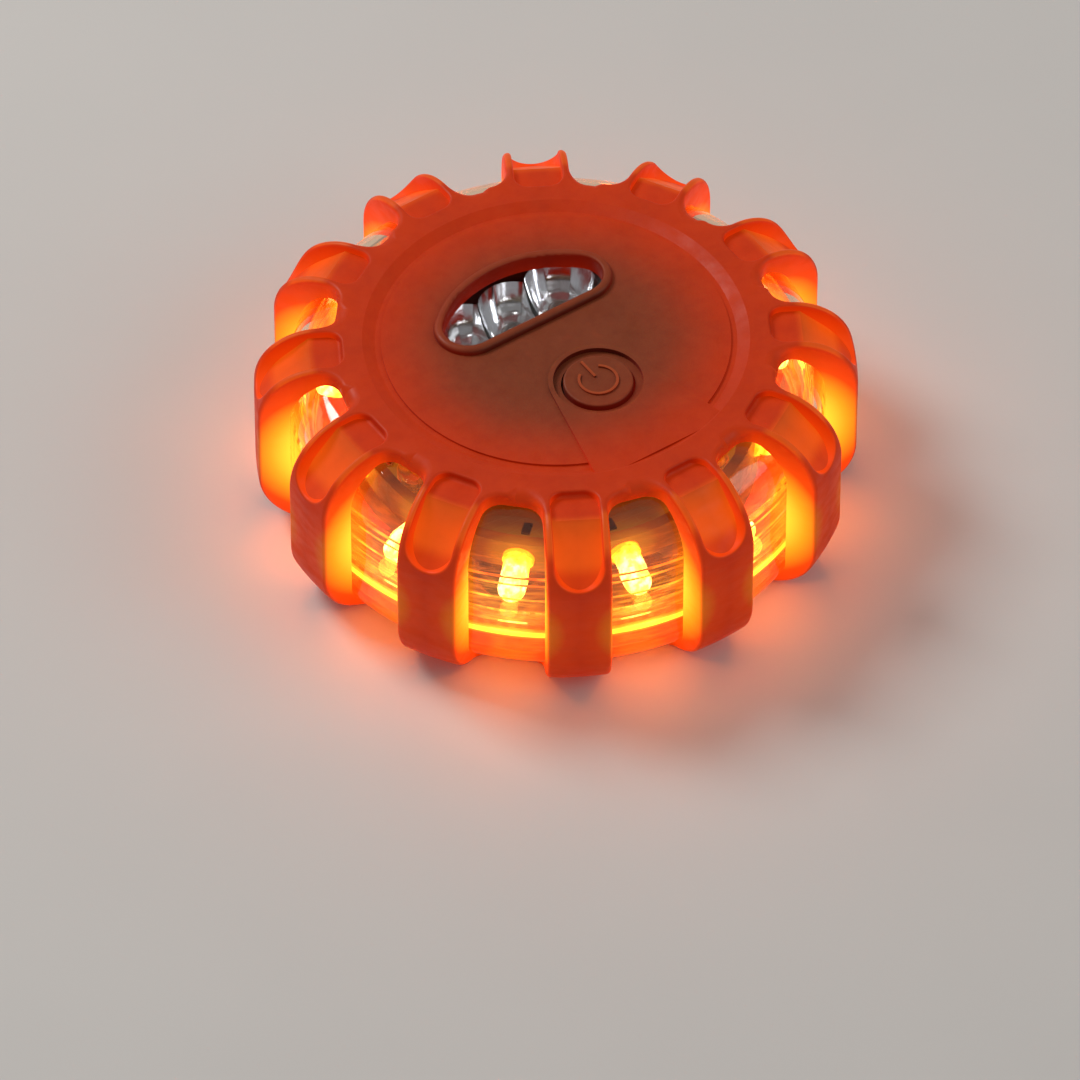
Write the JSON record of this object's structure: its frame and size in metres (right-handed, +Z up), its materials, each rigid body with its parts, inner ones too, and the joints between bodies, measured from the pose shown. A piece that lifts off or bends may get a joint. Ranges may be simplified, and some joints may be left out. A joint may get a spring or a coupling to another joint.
{
  "type": "led safety flare",
  "caption": "Round puck-shaped warning light: clear case of edge LEDs in a ribbed rubber jacket, with a torch window, push button, magnet and fold-out hook.",
  "frame": {"origin": "centre of the underside, on the plane the rubber heels stand on", "axes": "+Z up through the top skin, +Y towards the lamp window, -Y towards the push button"},
  "size_m": [0.11, 0.11, 0.0394],
  "materials": {
    "jacket_rubber": "matte, slightly translucent orange soft rubber",
    "button_rubber": "matte orange soft rubber",
    "clear_plastic": "clear polished plastic",
    "clear_base_plastic": "clear polished plastic, warm from the light inside",
    "seal_rubber": "black soft rubber",
    "zinc_steel": "zinc-plated steel",
    "spring_steel": "nickel-plated spring wire",
    "tinned_lead": "tinned wire",
    "mirror_coat": "vacuum-metallised plastic, mirror bright",
    "clear_led": "water-clear epoxy",
    "amber_led": "glowing amber epoxy",
    "carrier_plastic": "black moulded plastic",
    "board_laminate": "green solder mask",
    "chip_plastic": "black moulded epoxy",
    "resistor_body": "dark ceramic chip",
    "can_aluminium": "sleeved aluminium can",
    "switch_plastic": "black moulded plastic",
    "stem_plastic": "white moulded plastic",
    "cell_can": "printed steel can",
    "contact_plate": "nickel-plated sheet",
    "tray_plastic": "black moulded plastic",
    "door_plastic": "black fine-textured plastic",
    "magnet_plate": "nickel-plated magnet",
    "hook_steel": "plated sheet steel"
  },
  "bodies": {
    "case": {"rubber_jacket": "jacket_rubber", "tact_switch": "switch_plastic", "lens_shell": "clear_plastic", "base_shell": "clear_base_plastic", "case_seal": "seal_rubber", "case_screws": "zinc_steel", "main_board": "board_laminate", "board_screws": "zinc_steel", "led_carrier": "carrier_plastic", "amber_leds": "amber_led", "amber_led_leads": "tinned_lead", "resistors": "resistor_body", "controller_chip": "chip_plastic", "chip_pins": "tinned_lead", "capacitor": "can_aluminium", "white_leds": "clear_led", "white_led_leads": "tinned_lead", "reflector": "mirror_coat", "battery_tray": "tray_plastic", "battery_cells": "cell_can", "contact_plates": "contact_plate", "contact_springs": "spring_steel", "battery_door": "door_plastic", "door_seal": "seal_rubber", "door_screws": "zinc_steel", "magnet": "magnet_plate", "hook_pin": "spring_steel"},
    "button": {"power_button": "button_rubber", "button_plunger": "stem_plastic", "switch_stem": "switch_plastic"},
    "hook_body": {"hook": "hook_steel"}
  },
  "joints": [
    {"name": "button_press", "type": "slide", "parent": "case", "child": "button", "axis": [0, 0, -1], "range_m": [0, 0.0008], "stiffness_N_per_m": 2000},
    {"name": "hook_fold", "type": "hinge", "parent": "case", "child": "hook_body", "pos_m": [0, -0.0342, 0.0015], "axis": [-1, 0, 0], "range_deg": [0, 100]}
  ]
}
